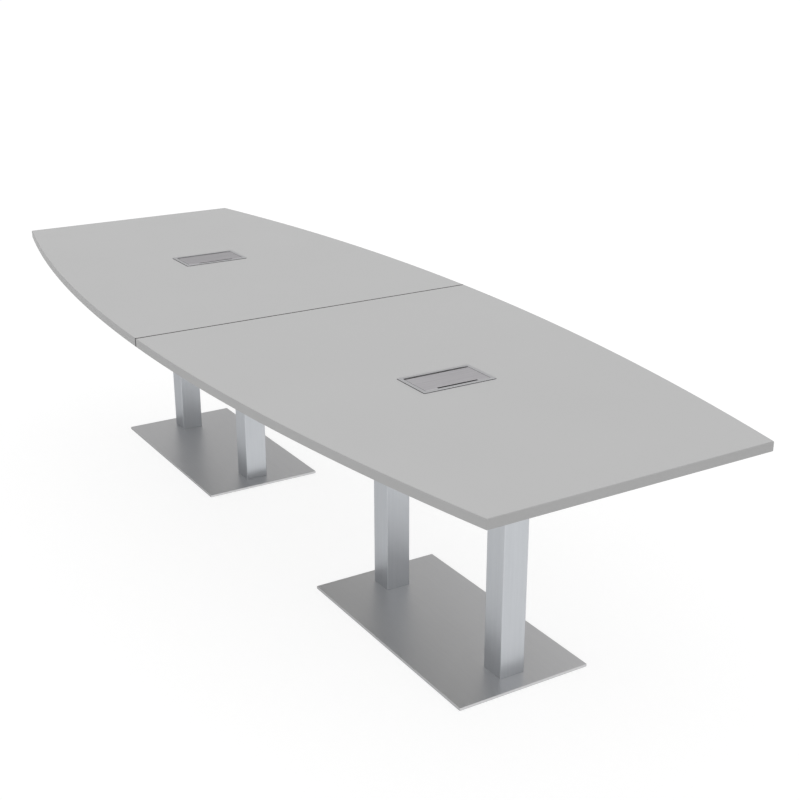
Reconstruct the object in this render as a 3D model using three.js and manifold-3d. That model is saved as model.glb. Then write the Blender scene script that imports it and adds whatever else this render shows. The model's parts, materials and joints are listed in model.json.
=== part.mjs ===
// Conference table: a boat-shaped top in two halves on two twin-post bases, with a flip-lid power module
// in each half. Millimetres, +Z up. The origin is on the floor under the middle of the table, +X runs along
// the table to its near end, left is -Y and right is +Y.
import * as THREE from "three";
import { mergeVertices } from "three/addons/utils/BufferGeometryUtils.js";
import Module from "manifold-3d";

const wasm = await Module();
wasm.setup();

// Clearances
const seat = 0.2; // between faces that rest on each other
const slip = 0.3; // round a piece that slides into another
const glueLine = 0.1; // between the board and its edge bands
const pinPlay = 0.15; // round a hinge pin

// Tabletop
const tableLength = 3048;
const tableHeight = 736.6;
const middleWidth = 1133;
const endWidth = 807;
const topThickness = 25.4;
const topEase = 0.8;
const bandThickness = 2;
const seamGap = 1.6;

// Seam fittings
const dowelDiameter = 8;
const dowelLength = 50;
const dowelSpacing = 360;
const seamPlateLength = 200;
const seamPlateWidth = 60;
const seamPlateThickness = 4;
const seamPlateCorner = 4;
const seamPlateSpacing = 340;
const seamScrewInset = 15;
const seamScrewHole = 5.5;

// Bases
const baseSpacing = 1532;
const basePlateLength = 762;
const basePlateWidth = 406.4;
const basePlateThickness = 8;
const basePlateCorner = 2;
const basePlateEase = 0.6;
const postInset = 95.25; // from the end of the base plate to the middle of the post
const postSize = 76.2;
const postWall = 2.5;
const postCorner = 3;
const capMargin = 52.5;
const capThickness = 6;
const capCorner = 8;
const capScrewInset = 20;
const capScrewHole = 6.5;
const bossWall = 9;
const bossHeight = 24;
const bossFloor = 4;
const tieRodDiameter = 12;
const tieHeadDiameter = 24;
const tieHeadHeight = 6;

// Levelling glides
const glideHeight = 4.5;
const glideDiameter = 34;
const glideRim = 1.5;
const glideStudDiameter = 8;
const glideHoleFloor = 1.2;
const glideInset = 32;

// Power modules: length is across the table, width is along it
const moduleSpacing = 1524;
const bezelLength = 224;
const bezelWidth = 134;
const bezelBorder = 11;
const bezelFlange = 2;
const bezelCorner = 3;
const bezelEase = 0.5;
const collarWall = 2;
const collarMargin = 1;
const cutoutMargin = 1;
const ledgeWidth = 3.5;
const ledgeThickness = 1.5;

// Lids
const lidThickness = 2;
const lidClearance = 0.8;
const lidCorner = 1.5;
const lidEase = 0.3;
const hingeGap = 10;
const hingeDrop = 4.5;
const hingeSwing = 2.3;
const hingePinDiameter = 3;
const lugRadius = 3.3;
const lugThickness = 4;
const lugInset = 1;
const lugReach = 8;
const notchLength = 124;
const notchDepth = 7.8;
const notchCorner = 2;

// Housings and what is in them
const housingTop = 10;
const housingWall = 1.5;
const outletDepth = 58;
const outletThickness = 2;
const outletLedge = 4;
const socketSpacing = 124;
const socketLength = 43;
const socketWidth = 33;
const socketDepth = 28;
const socketRim = 2.5;
const socketFace = 2;
const wiringSpace = 8.5;
const bladeSpacing = 12.7;
const bladeLength = 8.5;
const bladeWidth = 2.2;
const bladeDepth = 14;
const earthDiameter = 5.4;
const earthOffset = 11.9;
const usbLength = 40;
const usbWidth = 26;
const usbDepth = 20;
const usbPortLength = 13.2;
const usbPortWidth = 5.8;
const usbPortDepth = 12;
const usbPortSpacing = 19;
const inletLength = 27;
const inletHeight = 20;
const inletDepth = 19;
const inletRim = 2.5;
const inletFace = 3;
const inletWall = 1.75;
const inletRecess = 16;
const inletPinLength = 10;
const inletPinWidth = 2;
const inletPinHeight = 4;
const inletPinSpacing = 7;

// Module clamps
const clampWidth = 40;
const clampReach = 28;
const clampDrop = 14;
const clampThickness = 3;

// Facets
const arcSteps = 24;
const cornerSteps = 3;
const roundSides = 16;
const holeSides = 8;
const lugSteps = 12;
const smallestCorner = 0.2; // a corner that would otherwise come out sharp
const overrun = 1; // how far a cutter runs past what it cuts

// Sizes that follow from the ones above
const bowSagitta = (middleWidth - endWidth) / 2;
const bowRadius = ((tableLength / 2) ** 2 + bowSagitta ** 2) / (2 * bowSagitta);
const plateTop = glideHeight + basePlateThickness;
const postSpacing = basePlateLength - 2 * postInset;
const postInside = postSize - 2 * postWall;
const postInsideCorner = Math.max(postCorner - postWall, smallestCorner);
const glideHoleDepth = basePlateThickness - glideHoleFloor;
const capTop = tableHeight - topThickness - seat;
const capBottom = capTop - capThickness;
const capSize = postSize + 2 * capMargin;
const bossDiameter = tieRodDiameter + 2 * bossWall;
const wellLength = bezelLength - 2 * bezelBorder;
const wellWidth = bezelWidth - 2 * bezelBorder;
const collarLength = wellLength + 2 * collarWall;
const collarWidth = wellWidth + 2 * collarWall;
const collarDepth = topThickness + seat + clampDrop + collarMargin;
const cutoutLength = collarLength + 2 * cutoutMargin;
const cutoutWidth = collarWidth + 2 * cutoutMargin;
const flangeTop = seat + bezelFlange;
const lidBottom = flangeTop - lidThickness;
const lidFront = wellWidth / 2 - lidClearance;
const lidBack = hingeGap - wellWidth / 2;
const lidLength = wellLength - 2 * lidClearance;
const lugMiddle = lidLength / 2 - lugInset - lugThickness / 2;
const swingRoom = hingeGap - hingeSwing;
const hingeX = lidBack - (swingRoom ** 2 - hingeDrop ** 2) / (2 * swingRoom);
const hingeZ = flangeTop - hingeDrop;
const housingLength = wellLength - 2 * slip;
const housingWidth = wellWidth - 2 * slip;
const housingInnerLength = housingLength - 2 * housingWall;
const housingInnerWidth = housingWidth - 2 * housingWall;
const housingFloor = -(outletDepth + socketDepth + wiringSpace);
const inletZ = -(outletDepth + outletThickness + seat + inletHeight / 2 + inletRim + slip);

const finishes = {
  laminate: { color: 0xbcbcbc, roughness: 0.55, metalness: 0 },
  band: { color: 0xb4b4b4, roughness: 0.5, metalness: 0 },
  satinSteel: { color: 0xb8b9bc, roughness: 0.32, metalness: 1 },
  zincSteel: { color: 0xa5a7aa, roughness: 0.45, metalness: 1 },
  aluminium: { color: 0xbfbfc1, roughness: 0.35, metalness: 1 },
  blackSteel: { color: 0x1c1c1e, roughness: 0.5, metalness: 0.2 },
  blackPlastic: { color: 0x202022, roughness: 0.4, metalness: 0 },
  glidePlastic: { color: 0x2a2a2c, roughness: 0.6, metalness: 0 },
  beech: { color: 0xc9a878, roughness: 0.7, metalness: 0 },
};

// Solids for cutting and joining

function solid(geometry) {
  const bare = geometry.clone();
  bare.deleteAttribute("normal");
  bare.deleteAttribute("uv");
  const merged = mergeVertices(bare);
  const corners = merged.index.array;
  const triVerts = [];
  for (let i = 0; i < corners.length; i += 3) {
    const [a, b, c] = corners.slice(i, i + 3);
    if (a !== b && b !== c && c !== a) {
      triVerts.push(a, b, c);
    }
  }
  const vertProperties = merged.attributes.position.array;
  return new wasm.Manifold(
    new wasm.Mesh({ numProp: 3, vertProperties, triVerts: new Uint32Array(triVerts) }),
  );
}

function block(x0, x1, y0, y1, z0, z1) {
  const geometry = new THREE.BoxGeometry(x1 - x0, y1 - y0, z1 - z0);
  geometry.translate((x0 + x1) / 2, (y0 + y1) / 2, (z0 + z1) / 2);
  return solid(geometry);
}

// A block of the given length (Y) and width (X) round an upright axis.
function centred(length, width, z0, z1, x = 0, y = 0) {
  return block(x - width / 2, x + width / 2, y - length / 2, y + length / 2, z0, z1);
}

function prism(shape, z0, z1, { steps = cornerSteps, x = 0 } = {}) {
  const options = { depth: z1 - z0, bevelEnabled: false, curveSegments: steps };
  return solid(new THREE.ExtrudeGeometry(shape, options).translate(x, 0, z0));
}

// A prism whose top and bottom edges are chamfered.
function easedPrism(shape, z0, z1, ease, { steps = cornerSteps, x = 0 } = {}) {
  const options = {
    depth: z1 - z0 - 2 * ease,
    bevelThickness: ease,
    bevelSize: ease,
    bevelOffset: -ease,
    bevelSegments: 1,
    curveSegments: steps,
  };
  return solid(new THREE.ExtrudeGeometry(shape, options).translate(x, 0, z0 + ease));
}

// A turned piece round an upright axis, from [radius, height] points that start and end on the axis.
function turned(profile, { sides = roundSides, x = 0, y = 0 } = {}) {
  const points = profile.map(([radius, height]) => new THREE.Vector2(radius, height));
  return solid(new THREE.LatheGeometry(points, sides).rotateX(Math.PI / 2).translate(x, y, 0));
}

function rodZ(diameter, z0, z1, options) {
  const radius = diameter / 2;
  return turned([[0, z0], [radius, z0], [radius, z1], [0, z1]], options);
}

function rodY(diameter, y0, y1, x, z) {
  const geometry = new THREE.CylinderGeometry(diameter / 2, diameter / 2, y1 - y0, roundSides);
  return solid(geometry.translate(x, (y0 + y1) / 2, z));
}

function rodX(diameter, x0, x1, y, z) {
  const geometry = new THREE.CylinderGeometry(diameter / 2, diameter / 2, x1 - x0, roundSides);
  return solid(geometry.rotateZ(Math.PI / 2).translate((x0 + x1) / 2, y, z));
}

// A rectangle with rounded corners: width along X, length along Y.
function roundedRectangle(width, length, radius) {
  const x = width / 2 - radius;
  const y = length / 2 - radius;
  const shape = new THREE.Shape();
  shape.absarc(x, y, radius, 0, Math.PI / 2);
  shape.absarc(-x, y, radius, Math.PI / 2, Math.PI);
  shape.absarc(-x, -y, radius, Math.PI, 1.5 * Math.PI);
  shape.absarc(x, -y, radius, 1.5 * Math.PI, 2 * Math.PI);
  shape.closePath();
  return shape;
}

function withoutAll(body, cutters) {
  return cutters.reduce((left, cutter) => left.subtract(cutter), body);
}

function withAll(body, pieces) {
  return pieces.reduce((whole, piece) => whole.add(piece), body);
}

function addPiece(group, name, body, finish) {
  const mesh = body.getMesh();
  const geometry = new THREE.BufferGeometry();
  geometry.setAttribute("position", new THREE.BufferAttribute(mesh.vertProperties, 3));
  geometry.setIndex(new THREE.BufferAttribute(mesh.triVerts, 1));
  geometry.computeVertexNormals();
  const material = new THREE.MeshStandardMaterial({ ...finishes[finish], flatShading: true });
  const piece = new THREE.Mesh(geometry, material);
  piece.name = name;
  group.add(piece);
  return piece;
}

// Tabletop, with its upper surface at z = 0

// The outline of the near half, drawn in by inset on the bowed sides, between two stations along the table.
function boatOutline(inset, seamX, endX) {
  const radius = bowRadius - inset;
  const centreY = bowRadius - middleWidth / 2;
  const seamAngle = Math.asin(seamX / radius);
  const endAngle = Math.asin(endX / radius);
  const shape = new THREE.Shape();
  shape.absarc(0, centreY, radius, seamAngle - Math.PI / 2, endAngle - Math.PI / 2);
  shape.absarc(0, -centreY, radius, Math.PI / 2 - endAngle, Math.PI / 2 - seamAngle);
  shape.closePath();
  return shape;
}

function topPanel(slab) {
  const boardInset = bandThickness + glueLine;
  const outline = boatOutline(boardInset, 0, tableLength / 2 - boardInset);
  const board = slab.intersect(prism(outline, -topThickness - overrun, overrun, { steps: arcSteps }));
  const middle = moduleSpacing / 2;
  const cutout = block(
    middle - cutoutWidth / 2,
    middle + cutoutWidth / 2,
    -cutoutLength / 2,
    cutoutLength / 2,
    -topThickness - overrun,
    overrun,
  );
  const dowelHoles = [-1, 1].map((side) => dowel(side, slip));
  return withoutAll(board, [cutout, ...dowelHoles]);
}

function sideBand(slab, side) {
  const inner = boatOutline(bandThickness, 0, tableLength / 2);
  const strips = slab.subtract(prism(inner, -topThickness - overrun, overrun, { steps: arcSteps }));
  const farY = side * (middleWidth / 2 + overrun);
  const endX = tableLength / 2 - bandThickness - glueLine;
  const keep = block(
    0,
    endX,
    Math.min(0, farY),
    Math.max(0, farY),
    -topThickness - overrun,
    overrun,
  );
  return strips.intersect(keep);
}

function endBand(slab) {
  const keep = block(
    tableLength / 2 - bandThickness,
    tableLength / 2 + overrun,
    -middleWidth / 2,
    middleWidth / 2,
    -topThickness - overrun,
    overrun,
  );
  return slab.intersect(keep);
}

function topHalf(half) {
  const group = new THREE.Group();
  const outline = boatOutline(0, seamGap / 2, tableLength / 2);
  const slab = easedPrism(outline, -topThickness, 0, topEase, { steps: arcSteps });
  addPiece(group, `top_panel_${half}`, topPanel(slab), "laminate");
  addPiece(group, `edge_band_left_${half}`, sideBand(slab, -1), "band");
  addPiece(group, `edge_band_right_${half}`, sideBand(slab, 1), "band");
  addPiece(group, `edge_band_end_${half}`, endBand(slab), "band");
  group.position.z = tableHeight;
  return group;
}

// Seam fittings, with the upper surface of the top at z = 0

// A dowel across the seam, or with some room round it the hole that takes one.
function dowel(side, room = 0) {
  const reach = dowelLength / 2 + room;
  return rodX(dowelDiameter + 2 * room, -reach, reach, (side * dowelSpacing) / 2, -topThickness / 2);
}

function seamPlate() {
  const bottom = -topThickness - seat - seamPlateThickness;
  const plate = prism(
    roundedRectangle(seamPlateLength, seamPlateWidth, seamPlateCorner),
    bottom,
    bottom + seamPlateThickness,
  );
  const holes = cornerPlaces(seamPlateLength, seamPlateWidth, seamScrewInset).map(([x, y]) =>
    rodZ(seamScrewHole, bottom - overrun, overrun - topThickness, { sides: holeSides, x, y }),
  );
  return withoutAll(plate, holes);
}

function seamFittings() {
  const group = new THREE.Group();
  const sides = { left: -1, right: 1 };
  for (const [side, sign] of Object.entries(sides)) {
    addPiece(group, `seam_dowel_${side}`, dowel(sign), "beech");
  }
  for (const [side, sign] of Object.entries({ ...sides, middle: 0 })) {
    const plate = addPiece(group, `seam_plate_${side}`, seamPlate(), "zincSteel");
    plate.position.y = sign * seamPlateSpacing;
  }
  group.position.z = tableHeight;
  return group;
}

// Bases, with the floor at z = 0

// The four points that lie inset from the corners of a rectangle.
function cornerPlaces(length, width, inset) {
  const x = length / 2 - inset;
  const y = width / 2 - inset;
  return [[-x, -y], [-x, y], [x, -y], [x, y]];
}

// The rod has a countersunk head, sunk just below the underside of the base plate.
function tieRod() {
  const head = tieHeadDiameter / 2;
  const shank = tieRodDiameter / 2;
  const bottom = glideHeight + slip;
  const top = capBottom - bossFloor - slip;
  return turned([
    [0, bottom],
    [head, bottom],
    [shank, bottom + tieHeadHeight],
    [shank, top],
    [0, top],
  ]);
}

function tieRodHole(x = 0) {
  const head = tieHeadDiameter / 2 + slip;
  const shank = tieRodDiameter / 2 + slip;
  const bottom = glideHeight + slip;
  const top = capBottom - bossFloor;
  const profile = [
    [0, glideHeight - overrun],
    [head, glideHeight - overrun],
    [head, bottom],
    [shank, bottom + tieHeadHeight],
    [shank, top],
    [0, top],
  ];
  return turned(profile, { x });
}

function basePlate() {
  const outline = roundedRectangle(basePlateLength, basePlateWidth, basePlateCorner);
  const plate = easedPrism(outline, glideHeight, plateTop, basePlateEase);
  const rodHoles = [-postSpacing / 2, postSpacing / 2].map((x) => tieRodHole(x));
  const studHoles = cornerPlaces(basePlateLength, basePlateWidth, glideInset).map(([x, y]) =>
    rodZ(glideStudDiameter + 2 * slip, 0, glideHeight + glideHoleDepth, { x, y }),
  );
  return withoutAll(plate, [...rodHoles, ...studHoles]);
}

function post() {
  const outline = roundedRectangle(postSize, postSize, postCorner);
  outline.holes.push(roundedRectangle(postInside, postInside, postInsideCorner));
  return prism(outline, plateTop + seat, capBottom - seat);
}

function postCap() {
  const plate = prism(roundedRectangle(capSize, capSize, capCorner), capBottom, capTop);
  const boss = rodZ(bossDiameter, capBottom - bossHeight, capBottom + capThickness / 2);
  const screwHoles = cornerPlaces(capSize, capSize, capScrewInset).map(([x, y]) =>
    rodZ(capScrewHole, capBottom - overrun, capTop + overrun, { sides: holeSides, x, y }),
  );
  return withoutAll(plate.add(boss), [tieRodHole(), ...screwHoles]);
}

function glide() {
  const radius = glideDiameter / 2;
  const stud = glideStudDiameter / 2;
  const padTop = glideHeight - seat;
  const studTop = glideHeight + glideHoleDepth - slip;
  return turned([
    [0, 0],
    [radius - glideRim, 0],
    [radius, glideRim],
    [radius, padTop],
    [stud, padTop],
    [stud, studTop],
    [0, studTop],
  ]);
}

function base(half, towardsEnd) {
  const group = new THREE.Group();
  addPiece(group, `base_plate_${half}`, basePlate(), "satinSteel");
  for (const [place, sign] of Object.entries({ inner: -1, outer: 1 })) {
    const stand = new THREE.Group();
    addPiece(stand, `post_${place}_${half}`, post(), "satinSteel");
    addPiece(stand, `post_cap_${place}_${half}`, postCap(), "zincSteel");
    addPiece(stand, `tie_rod_${place}_${half}`, tieRod(), "zincSteel");
    stand.position.x = (towardsEnd * sign * postSpacing) / 2;
    group.add(stand);
  }
  for (const [x, y] of cornerPlaces(basePlateLength, basePlateWidth, glideInset)) {
    const place = x * towardsEnd > 0 ? "outer" : "inner";
    const side = y < 0 ? "left" : "right";
    const foot = addPiece(group, `glide_${place}_${side}_${half}`, glide(), "glidePlastic");
    foot.position.set(x, y, 0);
  }
  group.position.x = (towardsEnd * baseSpacing) / 2;
  return group;
}

// Power modules, with the upper surface of the top at z = 0 and the cable notch towards +X

function bezel() {
  const flange = easedPrism(
    roundedRectangle(bezelWidth, bezelLength, bezelCorner),
    seat,
    flangeTop,
    bezelEase,
  );
  const collar = centred(collarLength, collarWidth, -collarDepth, seat + bezelFlange / 2);
  const well = centred(wellLength, wellWidth, -collarDepth - overrun, flangeTop + overrun);
  const frame = flange.add(collar).subtract(well);
  const ledgeTop = lidBottom - seat;
  const ledges = [-1, 1].map((side) => {
    const wall = side * (wellLength / 2 + collarWall / 2);
    const edge = side * (wellLength / 2 - ledgeWidth);
    return block(
      lidBack + lugReach + ledgeWidth,
      lidFront - ledgeWidth,
      Math.min(wall, edge),
      Math.max(wall, edge),
      ledgeTop - ledgeThickness,
      ledgeTop,
    );
  });
  const pinHole = rodY(
    hingePinDiameter + 2 * pinPlay,
    -collarLength / 2 - overrun,
    collarLength / 2 + overrun,
    hingeX,
    hingeZ,
  );
  return withAll(frame, ledges).subtract(pinHole);
}

// The lid, with the hinge axis at the origin.
function lid() {
  const depth = lidFront - lidBack;
  const outline = roundedRectangle(depth, lidLength, lidCorner);
  const bottom = lidBottom - hingeZ;
  const plate = easedPrism(outline, bottom, bottom + lidThickness, lidEase, {
    x: (lidBack + lidFront) / 2 - hingeX,
  });
  const notchOutline = roundedRectangle(2 * notchDepth, notchLength, notchCorner);
  const notch = prism(notchOutline, bottom - overrun, bottom + lidThickness + overrun, {
    x: lidFront - hingeX,
  });
  const lugs = [-1, 1].map((side) => lidLug(lugMiddle * side));
  return withAll(plate.subtract(notch), lugs);
}

// A lug under the lid's back corner, bored for the hinge pin, at a station along the hinge.
function lidLug(y) {
  const reach = lidBack - hingeX + lugReach;
  const outline = new THREE.Shape();
  outline.absarc(0, 0, lugRadius, Math.PI / 2, 1.5 * Math.PI);
  outline.lineTo(reach, -lugRadius);
  outline.lineTo(reach, lugRadius);
  outline.closePath();
  const bore = new THREE.Path();
  bore.absarc(0, 0, hingePinDiameter / 2 + pinPlay, 0, 2 * Math.PI);
  outline.holes.push(bore);
  const options = { depth: lugThickness, bevelEnabled: false, curveSegments: lugSteps };
  const geometry = new THREE.ExtrudeGeometry(outline, options).rotateX(Math.PI / 2);
  return solid(geometry.translate(0, y + lugThickness / 2, 0));
}

function hingePin(side) {
  const inner = lugMiddle - lugThickness / 2;
  const outer = collarLength / 2;
  return rodY(
    hingePinDiameter,
    Math.min(side * inner, side * outer),
    Math.max(side * inner, side * outer),
    hingeX,
    hingeZ,
  );
}

function housing() {
  const bottom = housingFloor - housingWall;
  const shell = centred(housingLength, housingWidth, bottom, -housingTop);
  const inside = centred(housingInnerLength, housingInnerWidth, housingFloor, overrun - housingTop);
  const ledgeTop = -outletDepth - outletThickness - seat;
  const ledges = [-1, 1].map((side) => {
    const wall = (side * (housingInnerLength + housingWall)) / 2;
    const edge = side * (housingInnerLength / 2 - outletLedge);
    return block(
      -housingInnerWidth / 2 - housingWall / 2,
      housingInnerWidth / 2 + housingWall / 2,
      Math.min(wall, edge),
      Math.max(wall, edge),
      ledgeTop - housingWall,
      ledgeTop,
    );
  });
  const inletHole = block(
    -housingWidth / 2 - overrun,
    -housingInnerWidth / 2 + overrun,
    -inletLength / 2 - slip,
    inletLength / 2 + slip,
    inletZ - inletHeight / 2 - slip,
    inletZ + inletHeight / 2 + slip,
  );
  return withAll(shell.subtract(inside), ledges).subtract(inletHole);
}

// The middle of each opening in the outlet plate, with its length and width.
function outletOpenings() {
  return [
    [-socketSpacing / 2, socketLength, socketWidth],
    [0, usbLength, usbWidth],
    [socketSpacing / 2, socketLength, socketWidth],
  ];
}

function outletPlate() {
  const top = -outletDepth;
  const bottom = top - outletThickness;
  const plate = centred(housingInnerLength - 2 * slip, housingInnerWidth - 2 * slip, bottom, top);
  const holes = outletOpenings().map(([y, length, width]) =>
    centred(length + 2 * slip, width + 2 * slip, bottom - overrun, top + overrun, 0, y),
  );
  return withoutAll(plate, holes);
}

// A fitting that drops through the outlet plate and hangs by its rim.
function plateFitting(length, width, depth) {
  const rimBottom = seat - outletDepth;
  const rim = prism(
    roundedRectangle(width + 2 * socketRim, length + 2 * socketRim, socketRim),
    rimBottom,
    rimBottom + socketFace,
  );
  return rim.add(centred(length, width, rimBottom - depth, rimBottom + socketFace / 2));
}

function receptacle() {
  const face = seat - outletDepth + socketFace;
  const bottom = face - bladeDepth;
  const blades = [-1, 1].map((side) =>
    centred(bladeWidth, bladeLength, bottom, face + overrun, 0, (side * bladeSpacing) / 2),
  );
  const earth = rodZ(earthDiameter, bottom, face + overrun, { sides: holeSides, x: -earthOffset });
  return withoutAll(plateFitting(socketLength, socketWidth, socketDepth), [...blades, earth]);
}

function usbModule() {
  const face = seat - outletDepth + socketFace;
  const ports = [-1, 1].map((side) =>
    centred(
      usbPortLength,
      usbPortWidth,
      face - usbPortDepth,
      face + overrun,
      0,
      (side * usbPortSpacing) / 2,
    ),
  );
  return withoutAll(plateFitting(usbLength, usbWidth, usbDepth), ports);
}

// The power inlet in the back wall of the housing, facing -X.
function powerInlet() {
  const wall = -housingWidth / 2 - seat;
  const face = wall - inletFace;
  const across = (size, y = 0) => [y - size / 2, y + size / 2];
  const high = (size) => [inletZ - size / 2, inletZ + size / 2];
  const rimLength = inletLength + 2 * inletRim;
  const rimHeight = inletHeight + 2 * inletRim;
  const recessLength = inletLength - 2 * inletWall;
  const recessHeight = inletHeight - 2 * inletWall;
  const rim = block(face, wall, ...across(rimLength), ...high(rimHeight));
  const body = block(face, face + inletDepth, ...across(inletLength), ...high(inletHeight));
  const bottom = face + inletRecess;
  const recess = block(face - overrun, bottom, ...across(recessLength), ...high(recessHeight));
  const pins = [-1, 0, 1].map((place) =>
    block(
      bottom - inletPinLength,
      bottom + overrun,
      ...across(inletPinWidth, place * inletPinSpacing),
      ...high(inletPinHeight),
    ),
  );
  return withAll(rim.add(body).subtract(recess), pins);
}

// A bracket on the collar's end that presses up against the underside of the top.
function clamp(side) {
  const inner = collarLength / 2 + seat;
  const top = -topThickness - seat;
  const span = (from, to) => [Math.min(side * from, side * to), Math.max(side * from, side * to)];
  const halfWidth = clampWidth / 2;
  const foot = block(
    -halfWidth,
    halfWidth,
    ...span(inner, inner + clampReach),
    top - clampThickness,
    top,
  );
  const leg = block(
    -halfWidth,
    halfWidth,
    ...span(inner, inner + clampThickness),
    top - clampDrop,
    top,
  );
  return foot.add(leg);
}

function powerModule(half, towardsEnd) {
  const group = new THREE.Group();
  const hinge = new THREE.Group();
  addPiece(group, `power_bezel_${half}`, bezel(), "aluminium");
  addPiece(hinge, `power_lid_${half}`, lid(), "aluminium");
  hinge.position.set(hingeX, 0, hingeZ);
  group.add(hinge);
  addPiece(group, `power_housing_${half}`, housing(), "blackSteel");
  addPiece(group, `outlet_plate_${half}`, outletPlate(), "blackSteel");
  addPiece(group, `usb_module_${half}`, usbModule(), "blackPlastic");
  addPiece(group, `power_inlet_${half}`, powerInlet(), "blackPlastic");
  for (const [place, side] of Object.entries({ left: -1, right: 1 })) {
    addPiece(group, `hinge_pin_${place}_${half}`, hingePin(side), "zincSteel");
    addPiece(group, `module_clamp_${place}_${half}`, clamp(side), "zincSteel");
    const socket = addPiece(group, `receptacle_${place}_${half}`, receptacle(), "blackPlastic");
    socket.position.y = (side * socketSpacing) / 2;
  }
  group.position.set((towardsEnd * moduleSpacing) / 2, 0, tableHeight);
  return group;
}

const table = new THREE.Group();
for (const [half, towardsEnd] of Object.entries({ near: 1, far: -1 })) {
  const top = topHalf(half);
  top.scale.x = towardsEnd;
  table.add(top, base(half, towardsEnd), powerModule(half, towardsEnd));
}
table.add(seamFittings());

export default table;
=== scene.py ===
import json
import math

import bmesh
import bpy
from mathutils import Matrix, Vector


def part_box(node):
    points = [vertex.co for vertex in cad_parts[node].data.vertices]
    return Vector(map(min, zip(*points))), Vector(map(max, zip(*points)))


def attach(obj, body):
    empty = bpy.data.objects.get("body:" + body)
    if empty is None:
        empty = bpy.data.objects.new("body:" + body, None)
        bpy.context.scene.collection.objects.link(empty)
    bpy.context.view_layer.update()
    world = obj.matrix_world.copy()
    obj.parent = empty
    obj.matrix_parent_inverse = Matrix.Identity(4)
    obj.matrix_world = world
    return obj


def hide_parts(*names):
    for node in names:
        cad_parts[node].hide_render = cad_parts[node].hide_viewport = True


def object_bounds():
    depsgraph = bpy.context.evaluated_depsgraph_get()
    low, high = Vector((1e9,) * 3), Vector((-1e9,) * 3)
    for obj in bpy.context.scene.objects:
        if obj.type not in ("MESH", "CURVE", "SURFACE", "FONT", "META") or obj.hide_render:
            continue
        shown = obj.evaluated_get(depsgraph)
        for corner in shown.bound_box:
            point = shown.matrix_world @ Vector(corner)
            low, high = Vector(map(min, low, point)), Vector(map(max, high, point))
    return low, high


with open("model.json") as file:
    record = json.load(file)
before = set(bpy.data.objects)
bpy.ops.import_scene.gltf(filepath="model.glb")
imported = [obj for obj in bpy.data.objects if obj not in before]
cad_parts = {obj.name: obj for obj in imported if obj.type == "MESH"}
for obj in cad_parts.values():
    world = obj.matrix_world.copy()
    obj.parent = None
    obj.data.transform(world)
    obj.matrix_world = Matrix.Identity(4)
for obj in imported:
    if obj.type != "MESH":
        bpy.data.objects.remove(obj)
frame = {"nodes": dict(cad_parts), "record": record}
cad_low, cad_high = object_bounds()
scene = bpy.context.scene

# Sizes are in metres. Left is -Y, right is +Y, and the near half lies towards +X.

HALVES = {"near": 1, "far": -1}
SIDES = {"left": -1, "right": 1}
PLACES = ("inner", "outer")
SEAM_PLATES = ("left", "middle", "right")
ORIGIN = Vector((0, 0, 0))
UP = Vector((0, 0, 1))

# Camera, fitted to the photograph
IMAGE_SIZE = 800
FOCAL_PIXELS = 1324.2
AXIS_PIXEL_X = 403.4
AXIS_PIXEL_Y = 429.1
SENSOR_WIDTH = 36.0
CAMERA_PLACE = (3.4945, -1.8104, 1.8724)
VIEW_AZIMUTH = math.radians(58.454)
VIEW_ELEVATION = math.radians(21.29)

# Light
SKY_LIGHT = 0.68
HORIZON_LIGHT = 1.0
HORIZON_RISE = (0.1, 0.35)
SUN_LIGHT = 0.85
SUN_SPREAD = math.radians(130)
SUN_TILT = (math.radians(14), math.radians(18), 0)
FLOOR_RADIUS = 60
FLOOR_SIDES = 96
FLOOR_DROP = 0.0002
FLOOR_BOUNCE = 0.72
FLOOR_SHADE = 0.22
FLOOR_GLOW = 0.82

# Shading
SHARP_ANGLE = math.radians(35)
WELD_DISTANCE = 0.00001
NOISE_MIDDLE = (0.3, 0.7)
FACING_LEAN = 0.75
GRAIN_ALONG = {"x": (0.02, 1, 1), "y": (1, 0.02, 1), "z": (1, 1, 0.02)}

# Sockets of a Mix node that mixes colours
MIX_FACTOR = 0
MIX_FIRST = 6
MIX_SECOND = 7
MIX_RESULT = 2

# Round forms
ROUND_SIDES = 48
CORNER_STEPS = 8
EDGE_STEPS = 4
ROUNDING_SEGMENTS = 3
SMALL_CORNER = 0.0003

# Painted shadow of the seam's gap, drawn as a dark line on the surfaces: its reach to either side of
# the middle, and its colour
SEAM_SHADOW_REACH = 0.0032
SEAM_SHADOW_COLOUR = (58, 56, 54)

# Edge bands
BAND_ROUND = 0.0014
BAND_STEPS = 48

# Posts
POST_WALL = 0.0025
POST_CORNER = 0.003

# Button heads of screws, as shares of the head's radius or height
HEAD_STEPS = 5
HEAD_RIM_HEIGHT = 0.15
HEAD_FLAT_RADIUS = 0.62
SOCKET_RADIUS = 0.5
SOCKET_FLOOR = 0.4
DRILL_RADIUS = 0.3
DRILL_FLOOR = 0.33

# Fasteners: a screw is the radius and height of its head
TIE_HEAD_HEIGHT = 0.006
TIE_ROD_RADIUS = 0.006
TIE_ROD_CHAMFER = 0.0015
TIE_SOCKET_RADIUS = 0.0046
TIE_SOCKET_DEPTH = 0.004
CAP_THICKNESS = 0.006
CAP_SCREW_INSET = (0.02, 0.02)
CAP_SCREW = (0.0055, 0.0034)
SEAM_SCREW_INSET = (0.015, 0.015)
SEAM_SCREW = (0.005, 0.003)
CLAMP_LEG = 0.003
CLAMP_SCREW_SPACING = 0.022
CLAMP_SCREW_RISE = 0.0055
CLAMP_SCREW = (0.0035, 0.002)
OUTLET_SCREW_INSET = (0.012, 0.006)
OUTLET_SCREW = (0.003, 0.0016)

# Levelling glides
GLIDE_PAD = 0.0043
GLIDE_ROUND = 0.0018
GLIDE_ROUND_STEPS = 6
GLIDE_STUD_RADIUS = 0.004
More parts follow.
